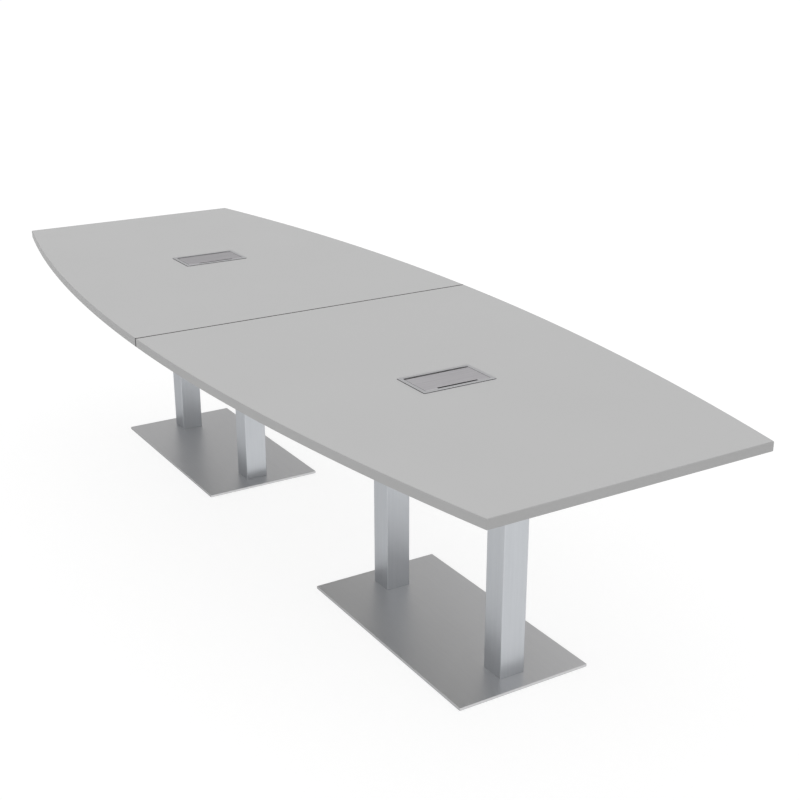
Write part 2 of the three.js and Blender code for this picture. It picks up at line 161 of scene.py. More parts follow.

# Black rubber round the power modules: seals whose black stands in for the shade along the flange's
# edge and at the lid's ends
WORKTOP_GAP = 0.0002
RUBBER_GAP = 0.00002
GASKET_LIP = 0.00055
GASKET_HEIGHT = 0.0014
GASKET_BEVEL_WIDTH = GASKET_LIP / 3
GASKET_BEVEL_DROP = GASKET_HEIGHT / 4
GASKET_REACH = 0.005
FLANGE_CORNER = 0.003
SEAL_WIDTH = 0.0013
SEAL_HEIGHT = 0.0021
SEAL_ROUND = 0.0002
SEAL_GAP = 0.00005

# Lids of the power modules
LID_THICKNESS = 0.002
LID_CORNER = 0.0015
LID_ROUND = 0.0003
LID_TRIM = 0.0006
NOTCH_LENGTH = 0.124
NOTCH_DEPTH = 0.0078
HINGE_EDGE = 0.002535
LUG_RADIUS = 0.0033
LUG_THICKNESS = 0.004
LUG_REACH = 0.008
LUG_BORE = 0.00165

# Contacts of the power receptacles
BLADE_SPACING = 0.0127
BLADE_WIDTH = 0.0022
CONTACT_SINK = 0.0015
CONTACT_DEPTH = 0.0115
CONTACT_LENGTH = 0.00765
CONTACT_THICKNESS = 0.0003
CONTACT_BEND = 0.004
CONTACT_PINCH = 0.00044
EARTH_OFFSET = 0.0119
EARTH_RADIUS = 0.00235
EARTH_WALL = 0.00047

# USB ports: sizes across X and Y, and sinks below the top of the port
USB_PORT_SPACING = 0.019
USB_PORT_DEPTH = 0.0118
USB_SHELL = (0.0057, 0.0131)
USB_SHELL_WALL = 0.0003
USB_SHELL_CORNER = 0.0004
USB_TONGUE = (0.0018, 0.0112)
USB_TONGUE_TIP = (0.00126, 0.01064)
USB_TONGUE_SHIFT = 0.0009
USB_TONGUE_SINK = 0.0018
USB_TONGUE_TIP_SINK = 0.0012
USB_CONTACTS = 4
USB_CONTACT_SPACING = 0.0024
USB_CONTACT = (0.0002, 0.0011)
USB_CONTACT_CORNER = 0.00005
USB_CONTACT_TIP = (0.0001, 0.0009)
USB_CONTACT_TIP_CORNER = 0.00004
USB_CONTACT_CORNER_STEPS = 3
USB_CONTACT_SINK = 0.003
USB_CONTACT_TIP_SINK = 0.0024

# Power inlets: the size of a pin is across Y and Z
INLET_RECESS = 0.016
INLET_PIN_LENGTH = 0.01
INLET_PIN_SPACING = 0.007
INLET_PIN = (0.0022, 0.0042)
INLET_PIN_TAPER = 0.0008
INLET_PIN_TIP_SHARE = 0.6
INLET_SLEEVE_WALL = 0.0001


# Materials


def srgb(red, green, blue):
    """A colour for a shader from screen values of 0 to 255."""
    def linear(value):
        share = value / 255
        return share / 12.92 if share <= 0.04045 else ((share + 0.055) / 1.055) ** 2.4

    return (linear(red), linear(green), linear(blue), 1)


def grey(value):
    return (value, value, value, 1)


def dimmed(colour, share):
    red, green, blue, solid = colour
    return (red * share, green * share, blue * share, solid)


def add_node(tree, kind, inputs=None, **settings):
    """A node with its settings, and with each input set to a value or linked to a socket."""
    node = tree.nodes.new(kind)
    for key, value in settings.items():
        setattr(node, key, value)
    for key, value in (inputs or {}).items():
        if isinstance(value, bpy.types.NodeSocket):
            tree.links.new(value, node.inputs[key])
        else:
            node.inputs[key].default_value = value
    return node


class Finish:
    """A procedural material with one Principled shader, textured by the piece's own coordinates."""

    def __init__(self, name, metallic=0.0, specular=0.5):
        self.material = bpy.data.materials.new(name)
        self.material.use_nodes = True
        self.tree = self.material.node_tree
        self.shader = self.tree.nodes["Principled BSDF"]
        self.shader.inputs["Metallic"].default_value = metallic
        self.shader.inputs["Specular IOR Level"].default_value = specular
        self.place = self.add("ShaderNodeTexCoord").outputs["Object"]

    def add(self, kind, inputs=None, **settings):
        return add_node(self.tree, kind, inputs, **settings)

    def calculate(self, operation, *values):
        inputs = dict(enumerate(values))
        return self.add("ShaderNodeMath", inputs, operation=operation).outputs["Value"]

    def noise(self, scale, stretch=(1, 1, 1), detail=2):
        mapping = self.add("ShaderNodeMapping", {"Vector": self.place, "Scale": stretch})
        inputs = {"Vector": mapping.outputs["Vector"], "Scale": scale, "Detail": detail}
        return self.add("ShaderNodeTexNoise", inputs).outputs["Fac"]

    def tint(self, factor, dark, light):
        """A mix of two colours, each of them a value or a socket."""
        inputs = {MIX_FACTOR: factor, MIX_FIRST: dark, MIX_SECOND: light}
        return self.add("ShaderNodeMix", inputs, data_type="RGBA").outputs[MIX_RESULT]

    def facing(self, way):
        """One on the faces that look that way, and nought on the others."""
        normal = self.add("ShaderNodeNewGeometry").outputs["True Normal"]
        lean = self.add("ShaderNodeVectorMath", {0: normal, 1: way}, operation="DOT_PRODUCT")
        return self.calculate("GREATER_THAN", lean.outputs["Value"], FACING_LEAN)

    def seam_shadowed(self, colour):
        """A colour with a painted shadow across the middle of the table: a dark line for the shade in
        the seam's gap.
        """
        along = self.add("ShaderNodeSeparateXYZ", {"Vector": self.place}).outputs["X"]
        distance = self.calculate("ABSOLUTE", along)
        line = self.calculate("LESS_THAN", distance, SEAM_SHADOW_REACH)
        return self.tint(line, colour, srgb(*SEAM_SHADOW_COLOUR))

    def colour(self, socket):
        self.tree.links.new(socket, self.shader.inputs["Base Color"])

    def roughness(self, noise, middle, swing):
        """Roughness that follows a noise, by as much as the swing to either side of the middle."""
        low, high = NOISE_MIDDLE
        ends = {"From Min": low, "From Max": high, "To Min": middle - swing, "To Max": middle + swing}
        spread = self.add("ShaderNodeMapRange", {"Value": noise, **ends})
        self.tree.links.new(spread.outputs["Result"], self.shader.inputs["Roughness"])

    def bump(self, noise, strength, depth):
        inputs = {"Height": noise, "Strength": strength, "Distance": depth}
        relief = self.add("ShaderNodeBump", inputs)
        self.tree.links.new(relief.outputs["Normal"], self.shader.inputs["Normal"])


def laminate():
    finish = Finish("grey_laminate", specular=0.3)
    cloud = finish.noise(scale=2.5, detail=3)
    fleck = finish.noise(scale=700, detail=1)
    face = finish.tint(cloud, dark=srgb(189, 189, 189), light=srgb(192, 192, 192))
    backed = finish.tint(finish.facing(-UP), face, srgb(222, 222, 220))
    # Painted shadow: a dark line along the seam's gap.
    finish.colour(finish.seam_shadowed(backed))
    finish.roughness(fleck, middle=0.56, swing=0.04)
    finish.bump(fleck, strength=0.12, depth=0.0002)
    return finish.material


def edge_plastic():
    finish = Finish("grey_edge_band", specular=0.15)
    peel = finish.noise(scale=900)
    cloud = finish.noise(scale=6)
    # The band's grey is a little darker than the laminate's; part of that difference is painted shade
    # on the band's upright faces.
    face = finish.tint(cloud, dark=srgb(173, 173, 173), light=srgb(178, 178, 178))
    # Painted shadow: a dark line along the seam's gap.
    finish.colour(finish.seam_shadowed(face))
    finish.roughness(peel, middle=0.5, swing=0.05)
    finish.bump(peel, strength=0.1, depth=0.0002)
    return finish.material


def brushed(name, dark, light, roughness, grain, pitch=140, rim=1.0, sweep=0.0, relief=0.1, side_shading=1.0):
    """Metal with its grain along one axis, and pitch as the number of streaks to a metre.
    rim is how bright the metal stays where it is seen at a slant, and sweep draws its reflections out
    across an upright grain. The share for the sides is painted shade: it darkens the colour of faces
    that look left or right beside the others, as if less light fell on them."""
    finish = Finish(name, metallic=1.0)
    finish.shader.inputs["Specular Tint"].default_value = grey(rim)
    if sweep:
        finish.shader.inputs["Anisotropic"].default_value = sweep
        tangent = finish.add("ShaderNodeTangent", direction_type="RADIAL", axis="Z").outputs["Tangent"]
        finish.tree.links.new(tangent, finish.shader.inputs["Tangent"])
    fine = finish.noise(scale=900, stretch=GRAIN_ALONG[grain])
    coarse = finish.noise(scale=pitch, stretch=GRAIN_ALONG[grain], detail=4)
    colour = finish.tint(coarse, dark, light)
    # Painted shade: faces that look left or right get a darker copy of the colour.
    if side_shading < 1:
        shaded_colour = finish.tint(coarse, dimmed(dark, side_shading), dimmed(light, side_shading))
        for way in SIDES.values():
            colour = finish.tint(finish.facing((0, way, 0)), colour, shaded_colour)
    finish.colour(colour)
    finish.roughness(fine, middle=roughness, swing=0.05)
    finish.bump(fine, strength=relief, depth=0.0001)
    return finish.material


def plated():
    finish = Finish("zinc_plate", metallic=1.0)
    patch = finish.noise(scale=90, detail=3)
    grit = finish.noise(scale=1200)
    finish.colour(finish.tint(patch, dark=srgb(158, 160, 166), light=srgb(178, 178, 176)))
    finish.roughness(patch, middle=0.44, swing=0.08)
    finish.bump(grit, strength=0.1, depth=0.0001)
    return finish.material


def moulded(name, dark, light, roughness, grain_scale):
    finish = Finish(name)
    grain = finish.noise(scale=grain_scale)
    cloud = finish.noise(scale=40)
    finish.colour(finish.tint(cloud, dark, light))
    finish.roughness(grain, middle=roughness, swing=0.06)
    finish.bump(grain, strength=0.2, depth=0.0002)
    return finish.material


def beech():
    finish = Finish("beech")
    grain = finish.noise(scale=260, stretch=(0.06, 1, 1), detail=4)
    finish.colour(finish.tint(grain, dark=srgb(176, 132, 84), light=srgb(214, 174, 124)))
    finish.roughness(grain, middle=0.625, swing=0.075)
    finish.bump(grain, strength=0.2, depth=0.0002)
    return finish.material


finishes = {
    "laminate_board": laminate(),
    "edge_band": edge_plastic(),
    # The plates' left and right faces are darkened as painted shade.
    "satin_steel": brushed(
        "satin_steel_plate", dark=srgb(204, 204, 205), light=srgb(208, 208, 209),
        roughness=0.38, grain="x", rim=0.58, side_shading=0.73,
    ),
    "zinc_steel": plated(),
    "bezel_aluminium": brushed(
        "satin_bezel", dark=srgb(202, 202, 204), light=srgb(210, 210, 212),
        roughness=0.5, grain="y", rim=0.5,
    ),
    "lid_aluminium": brushed(
        "brushed_lid", dark=srgb(206, 204, 207), light=srgb(236, 234, 237),
        roughness=0.34, grain="y", pitch=330, rim=0.38, relief=0.05,
    ),
    "black_steel": moulded(
        "dark_powder_coat", dark=srgb(58, 58, 61), light=srgb(66, 66, 69),
        roughness=0.5, grain_scale=700,
    ),
    "black_plastic": moulded(
        "black_plastic", dark=srgb(28, 28, 30), light=srgb(34, 34, 36),
        roughness=0.42, grain_scale=1400,
    ),
    "glide_plastic": moulded(
        "grey_nylon", dark=srgb(40, 40, 42), light=srgb(48, 48, 50),
        roughness=0.55, grain_scale=1100,
    ),
    "beech": beech(),
}
# The posts' left and right faces are darkened a little as painted shade.
post_steel = brushed(
    "satin_steel_post", dark=srgb(197, 200, 204), light=srgb(205, 208, 212),
    roughness=0.43, grain="z", rim=0.3, sweep=0.75, relief=0.06, side_shading=0.91,
)
# Black rubber of the seals round the power modules; its black stands in for the shade at their edges.
rubber = moulded(
    "black_rubber_shade", dark=srgb(44, 44, 46), light=srgb(52, 52, 54),
    roughness=0.7, grain_scale=900,
)
brass = brushed(
    "brass", dark=srgb(196, 162, 92), light=srgb(214, 182, 112),
    roughness=0.3, grain="z",
)


# Meshes


def smooth_group():
    """A node group that welds a mesh and shades it smooth except at its sharp edges."""
    group = bpy.data.node_groups.new("weld_and_smooth", "GeometryNodeTree")
    for way in ("INPUT", "OUTPUT"):
        group.interface.new_socket("Geometry", in_out=way, socket_type="NodeSocketGeometry")
    geometry = add_node(group, "NodeGroupInput").outputs["Geometry"]
    weld = {"Geometry": geometry, "Distance": WELD_DISTANCE}
    geometry = add_node(group, "GeometryNodeMergeByDistance", weld).outputs["Geometry"]
    smooth = {"Geometry": geometry}
    geometry = add_node(group, "GeometryNodeSetShadeSmooth", smooth).outputs["Geometry"]
    angle = add_node(group, "GeometryNodeInputMeshEdgeAngle").outputs["Unsigned Angle"]
    limit = {"A": angle, "B": SHARP_ANGLE}
    sharp = add_node(group, "FunctionNodeCompare", limit, operation="GREATER_THAN").outputs["Result"]
    crease = {"Geometry": geometry, "Selection": sharp, "Shade Smooth": False}
    geometry = add_node(group, "GeometryNodeSetShadeSmooth", crease, domain="EDGE").outputs["Geometry"]
    add_node(group, "NodeGroupOutput", {"Geometry": geometry})
    return group


def weigh_normals(made):
    made.modifiers.new("weighted_normals", "WEIGHTED_NORMAL").keep_sharp = True


def dress(node, material, group):
    """Gives a CAD node its finish and smooth shading."""
    made = frame["nodes"][node]
    made.data.materials.clear()
    made.data.materials.append(material)
    made.modifiers.new("weld_and_smooth", "NODES").node_group = group
    weigh_normals(made)


def piece(name, mesh, slot, material=None, body="table", replaces=(), rounding=0.0):
    """A new piece from a bmesh, riding on a body, with its sharp edges rounded if asked."""
    data = bpy.data.meshes.new(name)
    bmesh.ops.recalc_face_normals(mesh, faces=mesh.faces)
    mesh.to_mesh(data)
    mesh.free()
    data.shade_smooth()
    data.set_sharp_from_angle(angle=SHARP_ANGLE)
    data.materials.append(material or finishes[slot])
    made = bpy.data.objects.new(name, data)
    scene.collection.objects.link(made)
    if rounding:
        bevel = made.modifiers.new("round", "BEVEL")
        bevel.width = rounding
        bevel.segments = ROUNDING_SEGMENTS
        bevel.limit_method = "ANGLE"
        bevel.angle_limit = SHARP_ANGLE
    weigh_normals(made)
    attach(made, body)
    if replaces:
        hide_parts(*replaces)


def loft(rings, closed=False, mesh=None):
    """A skin through rings of as many points each. It has end faces unless it closes on itself.
    It is added to a mesh if one is given."""
    mesh = mesh or bmesh.new()
    loops = [[mesh.verts.new(point) for point in ring] for ring in rings]
    pairs = list(zip(loops, loops[1:]))
    if closed:
        pairs.append((loops[-1], loops[0]))
    else:
        mesh.faces.new(loops[0])
        mesh.faces.new(loops[-1])
    for lower, upper in pairs:
        for i, corner in enumerate(lower):
            j = (i + 1) % len(lower)
            mesh.faces.new((corner, lower[j], upper[j], upper[i]))
    return mesh


def stack(stations, centre, closed=False, mesh=None):
    """A loft through level outlines, each with its own height, about one centre."""
    rings = []
    for outline, height in stations:
        rings.append([(centre.x + x, centre.y + y, height) for x, y in outline])
    return loft(rings, closed, mesh)


def quarter_turn(steps):
    """Angles from nought to a right angle."""
    return [step / steps * math.pi / 2 for step in range(steps + 1)]


def rounded_rectangle(width, length, radius, steps):
    """The outline of a rectangle with round corners about the origin: width along X, length along Y."""
    points = []
    corners = ((1, 1), (-1, 1), (-1, -1), (1, -1))
    for quarter, (side_x, side_y) in enumerate(corners):
        centre_x = side_x * (width / 2 - radius)
        centre_y = side_y * (length / 2 - radius)
        for step in range(steps + 1):
            angle = (quarter + step / steps) * math.pi / 2
            points.append((centre_x + radius * math.cos(angle), centre_y + radius * math.sin(angle)))
    return points


def rounded_polygon(corners, radius, steps):
    """The outline of a polygon, with each corner drawn round between two points at a radius from it."""
    points = []
    for i, corner in enumerate(corners):
        before = corners[i - 1] - corner
        after = corners[(i + 1) % len(corners)] - corner
        start = corner + before.normalized() * radius
        end = corner + after.normalized() * radius
        for step in range(steps + 1):
            share = step / steps
            point = start * (1 - share) ** 2 + corner * 2 * share * (1 - share) + end * share ** 2
            points.append((point.x, point.y))
    return points


def even_turns():
    return [2 * math.pi * i / ROUND_SIDES for i in range(ROUND_SIDES)]


def circle(radius):
    return [(radius * math.cos(turn), radius * math.sin(turn)) for turn in even_turns()]


def hexagon(radius):
    """A hexagon by its corner radius, with as many points as a circle."""
    sixth = math.pi / 3
    points = []
    for turn in even_turns():
        reach = radius * math.cos(sixth / 2) / math.cos(turn % sixth - sixth / 2)
        points.append((reach * math.cos(turn), reach * math.sin(turn)))
    return points


# Edge bands


def band_profile(thickness, low, high):
    """The section of a band as (depth behind its face, height), with its two outer edges rounded."""
    points = [(thickness, low)]
    for angle in quarter_turn(EDGE_STEPS):
        points.append((BAND_ROUND * (1 - math.sin(angle)), low + BAND_ROUND * (1 - math.cos(angle))))
    for angle in quarter_turn(EDGE_STEPS):
        points.append((BAND_ROUND * (1 - math.cos(angle)), high - BAND_ROUND * (1 - math.sin(angle))))
    points.append((thickness, high))
    return points


def bow():
    """The radius of a bowed side, through its middle and the corner of an end band, and how far its
    centre lies past the table's middle line."""
    low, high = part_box("edge_band_end_near")
    sagitta = cad_high.y - high.y
    radius = (low.x ** 2 + sagitta ** 2) / (2 * sagitta)
    return radius, radius - cad_high.y


def side_band(half, side):
    node = f"edge_band_{side}_{half}"
    end_low, end_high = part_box("edge_band_end_near")
    low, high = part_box(node)
    radius, centre = bow()
    start, stop = sorted((abs(low.x), abs(high.x)))
    profile = band_profile(end_high.x - end_low.x, low.z, high.z)
    rings = []
    for step in range(BAND_STEPS + 1):
        ring = []
        for depth, height in profile:
            reach = radius - depth
            first = math.asin(start / reach)
            last = math.asin(stop / reach)
            angle = first + (last - first) * step / BAND_STEPS
            x = HALVES[half] * reach * math.sin(angle)
            y = SIDES[side] * (reach * math.cos(angle) - centre)
            ring.append((x, y, height))
        rings.append(ring)
    piece(f"band_{side}_{half}", loft(rings), "edge_band", replaces=[node])


def end_band(half):
    node = f"edge_band_end_{half}"
    low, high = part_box(node)
    radius, centre = bow()
    face = max(abs(low.x), abs(high.x))
    middle = (low.z + high.z) / 2
    half_height = (high.z - low.z) / 2
    stations = []
    for angle in quarter_turn(EDGE_STEPS):
        drop = BAND_ROUND * (1 - math.sin(angle))
        stations.append((BAND_ROUND * (1 - math.cos(angle)), 1 - drop / half_height))
    rings = []
    for side in SIDES.values():
        for inset, share in stations if side < 0 else reversed(stations):
            ring = []
            for depth, height in band_profile(high.x - low.x, low.z, high.z):
                x = face - depth
                y = side * (math.sqrt(radius ** 2 - x ** 2) - centre - inset)
                ring.append((HALVES[half] * x, y, middle + (height - middle) * share))
            rings.append(ring)
    piece(f"band_end_{half}", loft(rings), "edge_band", replaces=[node])


# Posts


def post(half, place):
    """A square tube with round corners."""
    node = f"post_{place}_{half}"
    low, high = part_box(node)
    size = high.x - low.x
    inside = size - 2 * POST_WALL
    outer = rounded_rectangle(size, size, POST_CORNER, CORNER_STEPS)
    inner = rounded_rectangle(inside, inside, POST_CORNER - POST_WALL, CORNER_STEPS)
    stations = [(outer, low.z), (outer, high.z), (inner, high.z), (inner, low.z)]
    mesh = stack(stations, (low + high) / 2, closed=True)
    piece(f"tube_{place}_{half}", mesh, "satin_steel", post_steel, replaces=[node])


# Fasteners


def tie_rod(half, place):
    """A rod with a countersunk head in the base plate, and a hexagon socket in the head."""
    node = f"tie_rod_{place}_{half}"
    low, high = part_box(node)
    head = (high.x - low.x) / 2
    stations = [
        (hexagon(TIE_SOCKET_RADIUS), low.z + TIE_SOCKET_DEPTH),
        (hexagon(TIE_SOCKET_RADIUS), low.z),
        (circle(head), low.z),
        (circle(TIE_ROD_RADIUS), low.z + TIE_HEAD_HEIGHT),
        (circle(TIE_ROD_RADIUS), high.z - TIE_ROD_CHAMFER),
        (circle(TIE_ROD_RADIUS - TIE_ROD_CHAMFER), high.z),
    ]
    mesh = stack(stations, (low + high) / 2)
    piece(f"rod_{place}_{half}", mesh, "zinc_steel", replaces=[node])


def screw(mesh, place, axis, size):
    """A button-head screw with a hexagon socket. Its place is on the face under its head, and its axis
    points out of that face."""
    radius, height = size
    side = axis.orthogonal().normalized()
    across = axis.cross(side)
    profile = [(circle(radius), 0), (circle(radius), HEAD_RIM_HEIGHT * height)]
    for angle in quarter_turn(HEAD_STEPS)[1:]:
        reach = radius * (HEAD_FLAT_RADIUS + (1 - HEAD_FLAT_RADIUS) * math.cos(angle))
        rise = height * (HEAD_RIM_HEIGHT + (1 - HEAD_RIM_HEIGHT) * math.sin(angle))
        profile.append((circle(reach), rise))
    socket = hexagon(SOCKET_RADIUS * radius)
    profile += [
        (socket, height),
        (socket, SOCKET_FLOOR * height),
        (circle(DRILL_RADIUS * radius), DRILL_FLOOR * height),
    ]
    rings = []
    for outline, rise in profile:
        rings.append([place + side * x + across * y + axis * rise for x, y in outline])
    loft(rings, mesh=mesh)


def corner_screws(name, node, inset, height, axis, size):
    """A screw near each corner of a plate, on its level face at a height."""
    low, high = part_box(node)
    inset_x, inset_y = inset
    mesh = bmesh.new()
    for x in (low.x + inset_x, high.x - inset_x):
        for y in (low.y + inset_y, high.y - inset_y):
            screw(mesh, Vector((x, y, height)), axis, size)
    piece(name, mesh, "zinc_steel")


def cap_screws(half, place):
    node = f"post_cap_{place}_{half}"
    _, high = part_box(node)
    face = high.z - CAP_THICKNESS
    corner_screws(f"cap_screws_{place}_{half}", node, CAP_SCREW_INSET, face, -UP, CAP_SCREW)


def seam_screws(place):
    node = f"seam_plate_{place}"
    low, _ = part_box(node)
    corner_screws(f"seam_screws_{place}", node, SEAM_SCREW_INSET, low.z, -UP, SEAM_SCREW)


def outlet_screws(half):
    node = f"outlet_plate_{half}"
    _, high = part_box(node)
    corner_screws(f"outlet_screws_{half}", node, OUTLET_SCREW_INSET, high.z, UP, OUTLET_SCREW)


def clamp_screws(half, side):
    """Two screws in the upright leg of a module clamp."""
    low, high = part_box(f"module_clamp_{side}_{half}")
    out = SIDES[side]
    leg = high.y - CLAMP_LEG if out < 0 else low.y + CLAMP_LEG
    mesh = bmesh.new()
    for shift in (-CLAMP_SCREW_SPACING / 2, CLAMP_SCREW_SPACING / 2):
        place = Vector(((low.x + high.x) / 2 + shift, leg, low.z + CLAMP_SCREW_RISE))
        screw(mesh, place, Vector((0, out, 0)), CLAMP_SCREW)
    piece(f"clamp_screws_{side}_{half}", mesh, "zinc_steel")


# Levelling glides


def glide(half, place, side):
    """A round pad with a rolled lower edge, on its stud."""
    node = f"glide_{place}_{side}_{half}"
    low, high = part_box(node)
    radius = (high.x - low.x) / 2
    stations = []
    for angle in quarter_turn(GLIDE_ROUND_STEPS):
        reach = radius - GLIDE_ROUND * (1 - math.sin(angle))
        stations.append((circle(reach), low.z + GLIDE_ROUND * (1 - math.cos(angle))))
    stations += [
        (circle(radius), low.z + GLIDE_PAD),
        (circle(GLIDE_STUD_RADIUS), low.z + GLIDE_PAD),
        (circle(GLIDE_STUD_RADIUS), high.z),
    ]
    mesh = stack(stations, (low + high) / 2)
    body = f"foot_{place}_{side}_{half}"
    piece(f"pad_{place}_{side}_{half}", mesh, "glide_plastic", body=body, replaces=[node])


# Power modules


def worktop_height(half):
    _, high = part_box(f"top_panel_{half}")
    return high.z


def shade_gasket(half):
    """A thin black rubber seal under the bezel's flange, with a lip round its outside whose black
    stands in for the shade along the flange's edge.
    """
    low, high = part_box(f"power_bezel_{half}")
    worktop = worktop_height(half)
    flange = WORKTOP_GAP - RUBBER_GAP
    profile = [
        (GASKET_LIP, RUBBER_GAP),
        (GASKET_LIP, GASKET_HEIGHT - GASKET_BEVEL_DROP),
        (GASKET_LIP - GASKET_BEVEL_WIDTH, GASKET_HEIGHT),
        (RUBBER_GAP, GASKET_HEIGHT),
        (RUBBER_GAP, flange),
        (-GASKET_REACH, flange),
        (-GASKET_REACH, RUBBER_GAP),
    ]
    stations = []
    for out, rise in profile:
        width = high.x - low.x + 2 * out
        length = high.y - low.y + 2 * out
        corner = max(FLANGE_CORNER + out, RUBBER_GAP)
        stations.append((rounded_rectangle(width, length, corner, CORNER_STEPS), worktop + rise))
    mesh = stack(stations, (low + high) / 2, closed=True)
    piece(f"gasket_{half}", mesh, "black_plastic", rubber)


def hinge_line(half):
    """The middle of the right hinge pin, and the place along the table of the lid's edge beside it."""
    low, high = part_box(f"hinge_pin_right_{half}")
    hinge = (low + high) / 2
    return hinge, hinge.x + HINGE_EDGE


def lid_shade_seals(half):
    """A black rubber strip with rounded top edges in the gap at each end of the lid, whose black stands
    in for the shade in that gap.
    """
    _, lid_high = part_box(f"power_lid_{half}")
    _, back = hinge_line(half)
    low = worktop_height(half) + RUBBER_GAP
    reach = SEAL_WIDTH / 2
    section = [(reach, 0), (-reach, 0)]
    for centre, start in ((SEAL_ROUND - reach, math.pi), (reach - SEAL_ROUND, math.pi / 2)):
        for turn in quarter_turn(EDGE_STEPS):
            angle = start - turn
            rise = SEAL_HEIGHT - SEAL_ROUND * (1 - math.sin(angle))
            section.append((centre + SEAL_ROUND * math.cos(angle), rise))
    mesh = bmesh.new()
    for side in SIDES.values():
        middle = side * (lid_high.y - LID_TRIM + SEAL_GAP + reach)
        ends = (back, lid_high.x)
        loft([[(x, middle + y, low + z) for y, z in section] for x in ends], mesh=mesh)
    piece(f"lid_shade_seals_{half}", mesh, "black_plastic", rubber)


def lug(mesh, hinge, start, stop):
    """A bored lug about the hinge: round behind the pin, and square under the lid."""
    reach = HINGE_EDGE + LUG_REACH
    square = math.atan2(LUG_RADIUS, reach)
    outer = []
    bore = []
    for turn in sorted(even_turns() + [square, 2 * math.pi - square]):
        ahead = math.cos(turn)
        rise = math.sin(turn)
        size = LUG_RADIUS
        if ahead > 0:
            size = 1 / max(abs(rise) / LUG_RADIUS, ahead / reach)
        outer.append((hinge.x + size * ahead, hinge.z + size * rise))
        bore.append((hinge.x + LUG_BORE * ahead, hinge.z + LUG_BORE * rise))
    stations = [(outer, start), (outer, stop), (bore, stop), (bore, start)]
    loft([[(x, y, z) for x, z in outline] for outline, y in stations], closed=True, mesh=mesh)


def lid(half):
    """The lid's plate, with the cable notch in its front edge, and its two hinge lugs."""
    node = f"power_lid_{half}"
    body = f"lid_{half}"
    _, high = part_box(node)
    pin_low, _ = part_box(f"hinge_pin_right_{half}")
    hinge, back = hinge_line(half)
    end = high.y - LID_TRIM
    notch = high.x - NOTCH_DEPTH
    reach = NOTCH_LENGTH / 2
    right_half = [(notch, reach), (high.x, reach), (high.x, end), (back, end)]
    left_half = [(x, -y) for x, y in reversed(right_half)]
    corners = [Vector(corner) for corner in left_half + right_half]
    outline = rounded_polygon(corners, LID_CORNER, CORNER_STEPS)
    plate = stack([(outline, high.z - LID_THICKNESS), (outline, high.z)], ORIGIN)
    piece(
        f"lid_plate_{half}", plate, "lid_aluminium",
        body=body, replaces=[node], rounding=LID_ROUND,
    )
    lugs = bmesh.new()
    for side in SIDES.values():
        lug(lugs, hinge, side * pin_low.y, side * (pin_low.y + LUG_THICKNESS))
    piece(f"lid_lugs_{half}", lugs, "lid_aluminium", body=body)


def socket_contacts(half, side):
    """The sprung leaves in a receptacle's two slots, and the sleeve in its earth hole."""
    low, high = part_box(f"receptacle_{side}_{half}")
    centre = (low + high) / 2
    top = high.z - CONTACT_SINK
    bottom = top - CONTACT_DEPTH
    wall = BLADE_WIDTH / 2 - CONTACT_THICKNESS / 2
    bends = [
        (wall, bottom),
        (wall, top - CONTACT_BEND),
        (CONTACT_PINCH, top - CONTACT_BEND / 2),
        (wall, top),
    ]
    ends = (centre.x - CONTACT_LENGTH / 2, centre.x + CONTACT_LENGTH / 2)
    mesh = bmesh.new()
    for slot in (-BLADE_SPACING / 2, BLADE_SPACING / 2):
        for hand in (-1, 1):
            face = [(centre.y + slot + hand * y, z) for y, z in bends]
            rear = [(y + hand * CONTACT_THICKNESS, z) for y, z in reversed(face)]
            loft([[(x, y, z) for y, z in face + rear] for x in ends], mesh=mesh)
    sleeve = circle(EARTH_RADIUS)
    bore = circle(EARTH_RADIUS - EARTH_WALL)
    stations = [(sleeve, bottom), (sleeve, top), (bore, top), (bore, bottom)]
    stack(stations, centre - Vector((EARTH_OFFSET, 0, 0)), closed=True, mesh=mesh)
    piece(f"contacts_{side}_{half}", mesh, "zinc_steel", brass)


def usb_ports(half):
    """The metal shell, tongue and contacts of each port."""
    low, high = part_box(f"usb_module_{half}")
    centre = (low + high) / 2
    top = high.z
    bottom = top - USB_PORT_DEPTH
    outer = rounded_rectangle(*USB_SHELL, USB_SHELL_CORNER, EDGE_STEPS)
    inside = [size - 2 * USB_SHELL_WALL for size in USB_SHELL]
    inner = rounded_rectangle(*inside, SMALL_CORNER, EDGE_STEPS)
    shell = [(outer, bottom), (outer, top), (inner, top), (inner, bottom)]
    full = rounded_rectangle(*USB_TONGUE, SMALL_CORNER, EDGE_STEPS)
    tip = rounded_rectangle(*USB_TONGUE_TIP, SMALL_CORNER, EDGE_STEPS)
    tongue = [(full, bottom), (full, top - USB_TONGUE_SINK), (tip, top - USB_TONGUE_TIP_SINK)]
    wide = rounded_rectangle(*USB_CONTACT, USB_CONTACT_CORNER, USB_CONTACT_CORNER_STEPS)
    narrow = rounded_rectangle(*USB_CONTACT_TIP, USB_CONTACT_TIP_CORNER, USB_CONTACT_CORNER_STEPS)
    contact = [(wide, bottom), (wide, top - USB_CONTACT_SINK), (narrow, top - USB_CONTACT_TIP_SINK)]
    shells = bmesh.new()
    tongues = bmesh.new()
    contacts = bmesh.new()
    for shift in (-USB_PORT_SPACING / 2, USB_PORT_SPACING / 2):
        port = centre + Vector((0, shift, 0))
        stack(shell, port, closed=True, mesh=shells)
        middle = port + Vector((USB_TONGUE_SHIFT, 0, 0))
        stack(tongue, middle, mesh=tongues)
        for i in range(USB_CONTACTS):
            across = (i - (USB_CONTACTS - 1) / 2) * USB_CONTACT_SPACING
            stack(contact, middle + Vector((-USB_TONGUE[0] / 2, across, 0)), mesh=contacts)
    piece(f"usb_shells_{half}", shells, "zinc_steel")
    piece(f"usb_tongues_{half}", tongues, "black_plastic")
    piece(f"usb_contacts_{half}", contacts, "zinc_steel", brass)


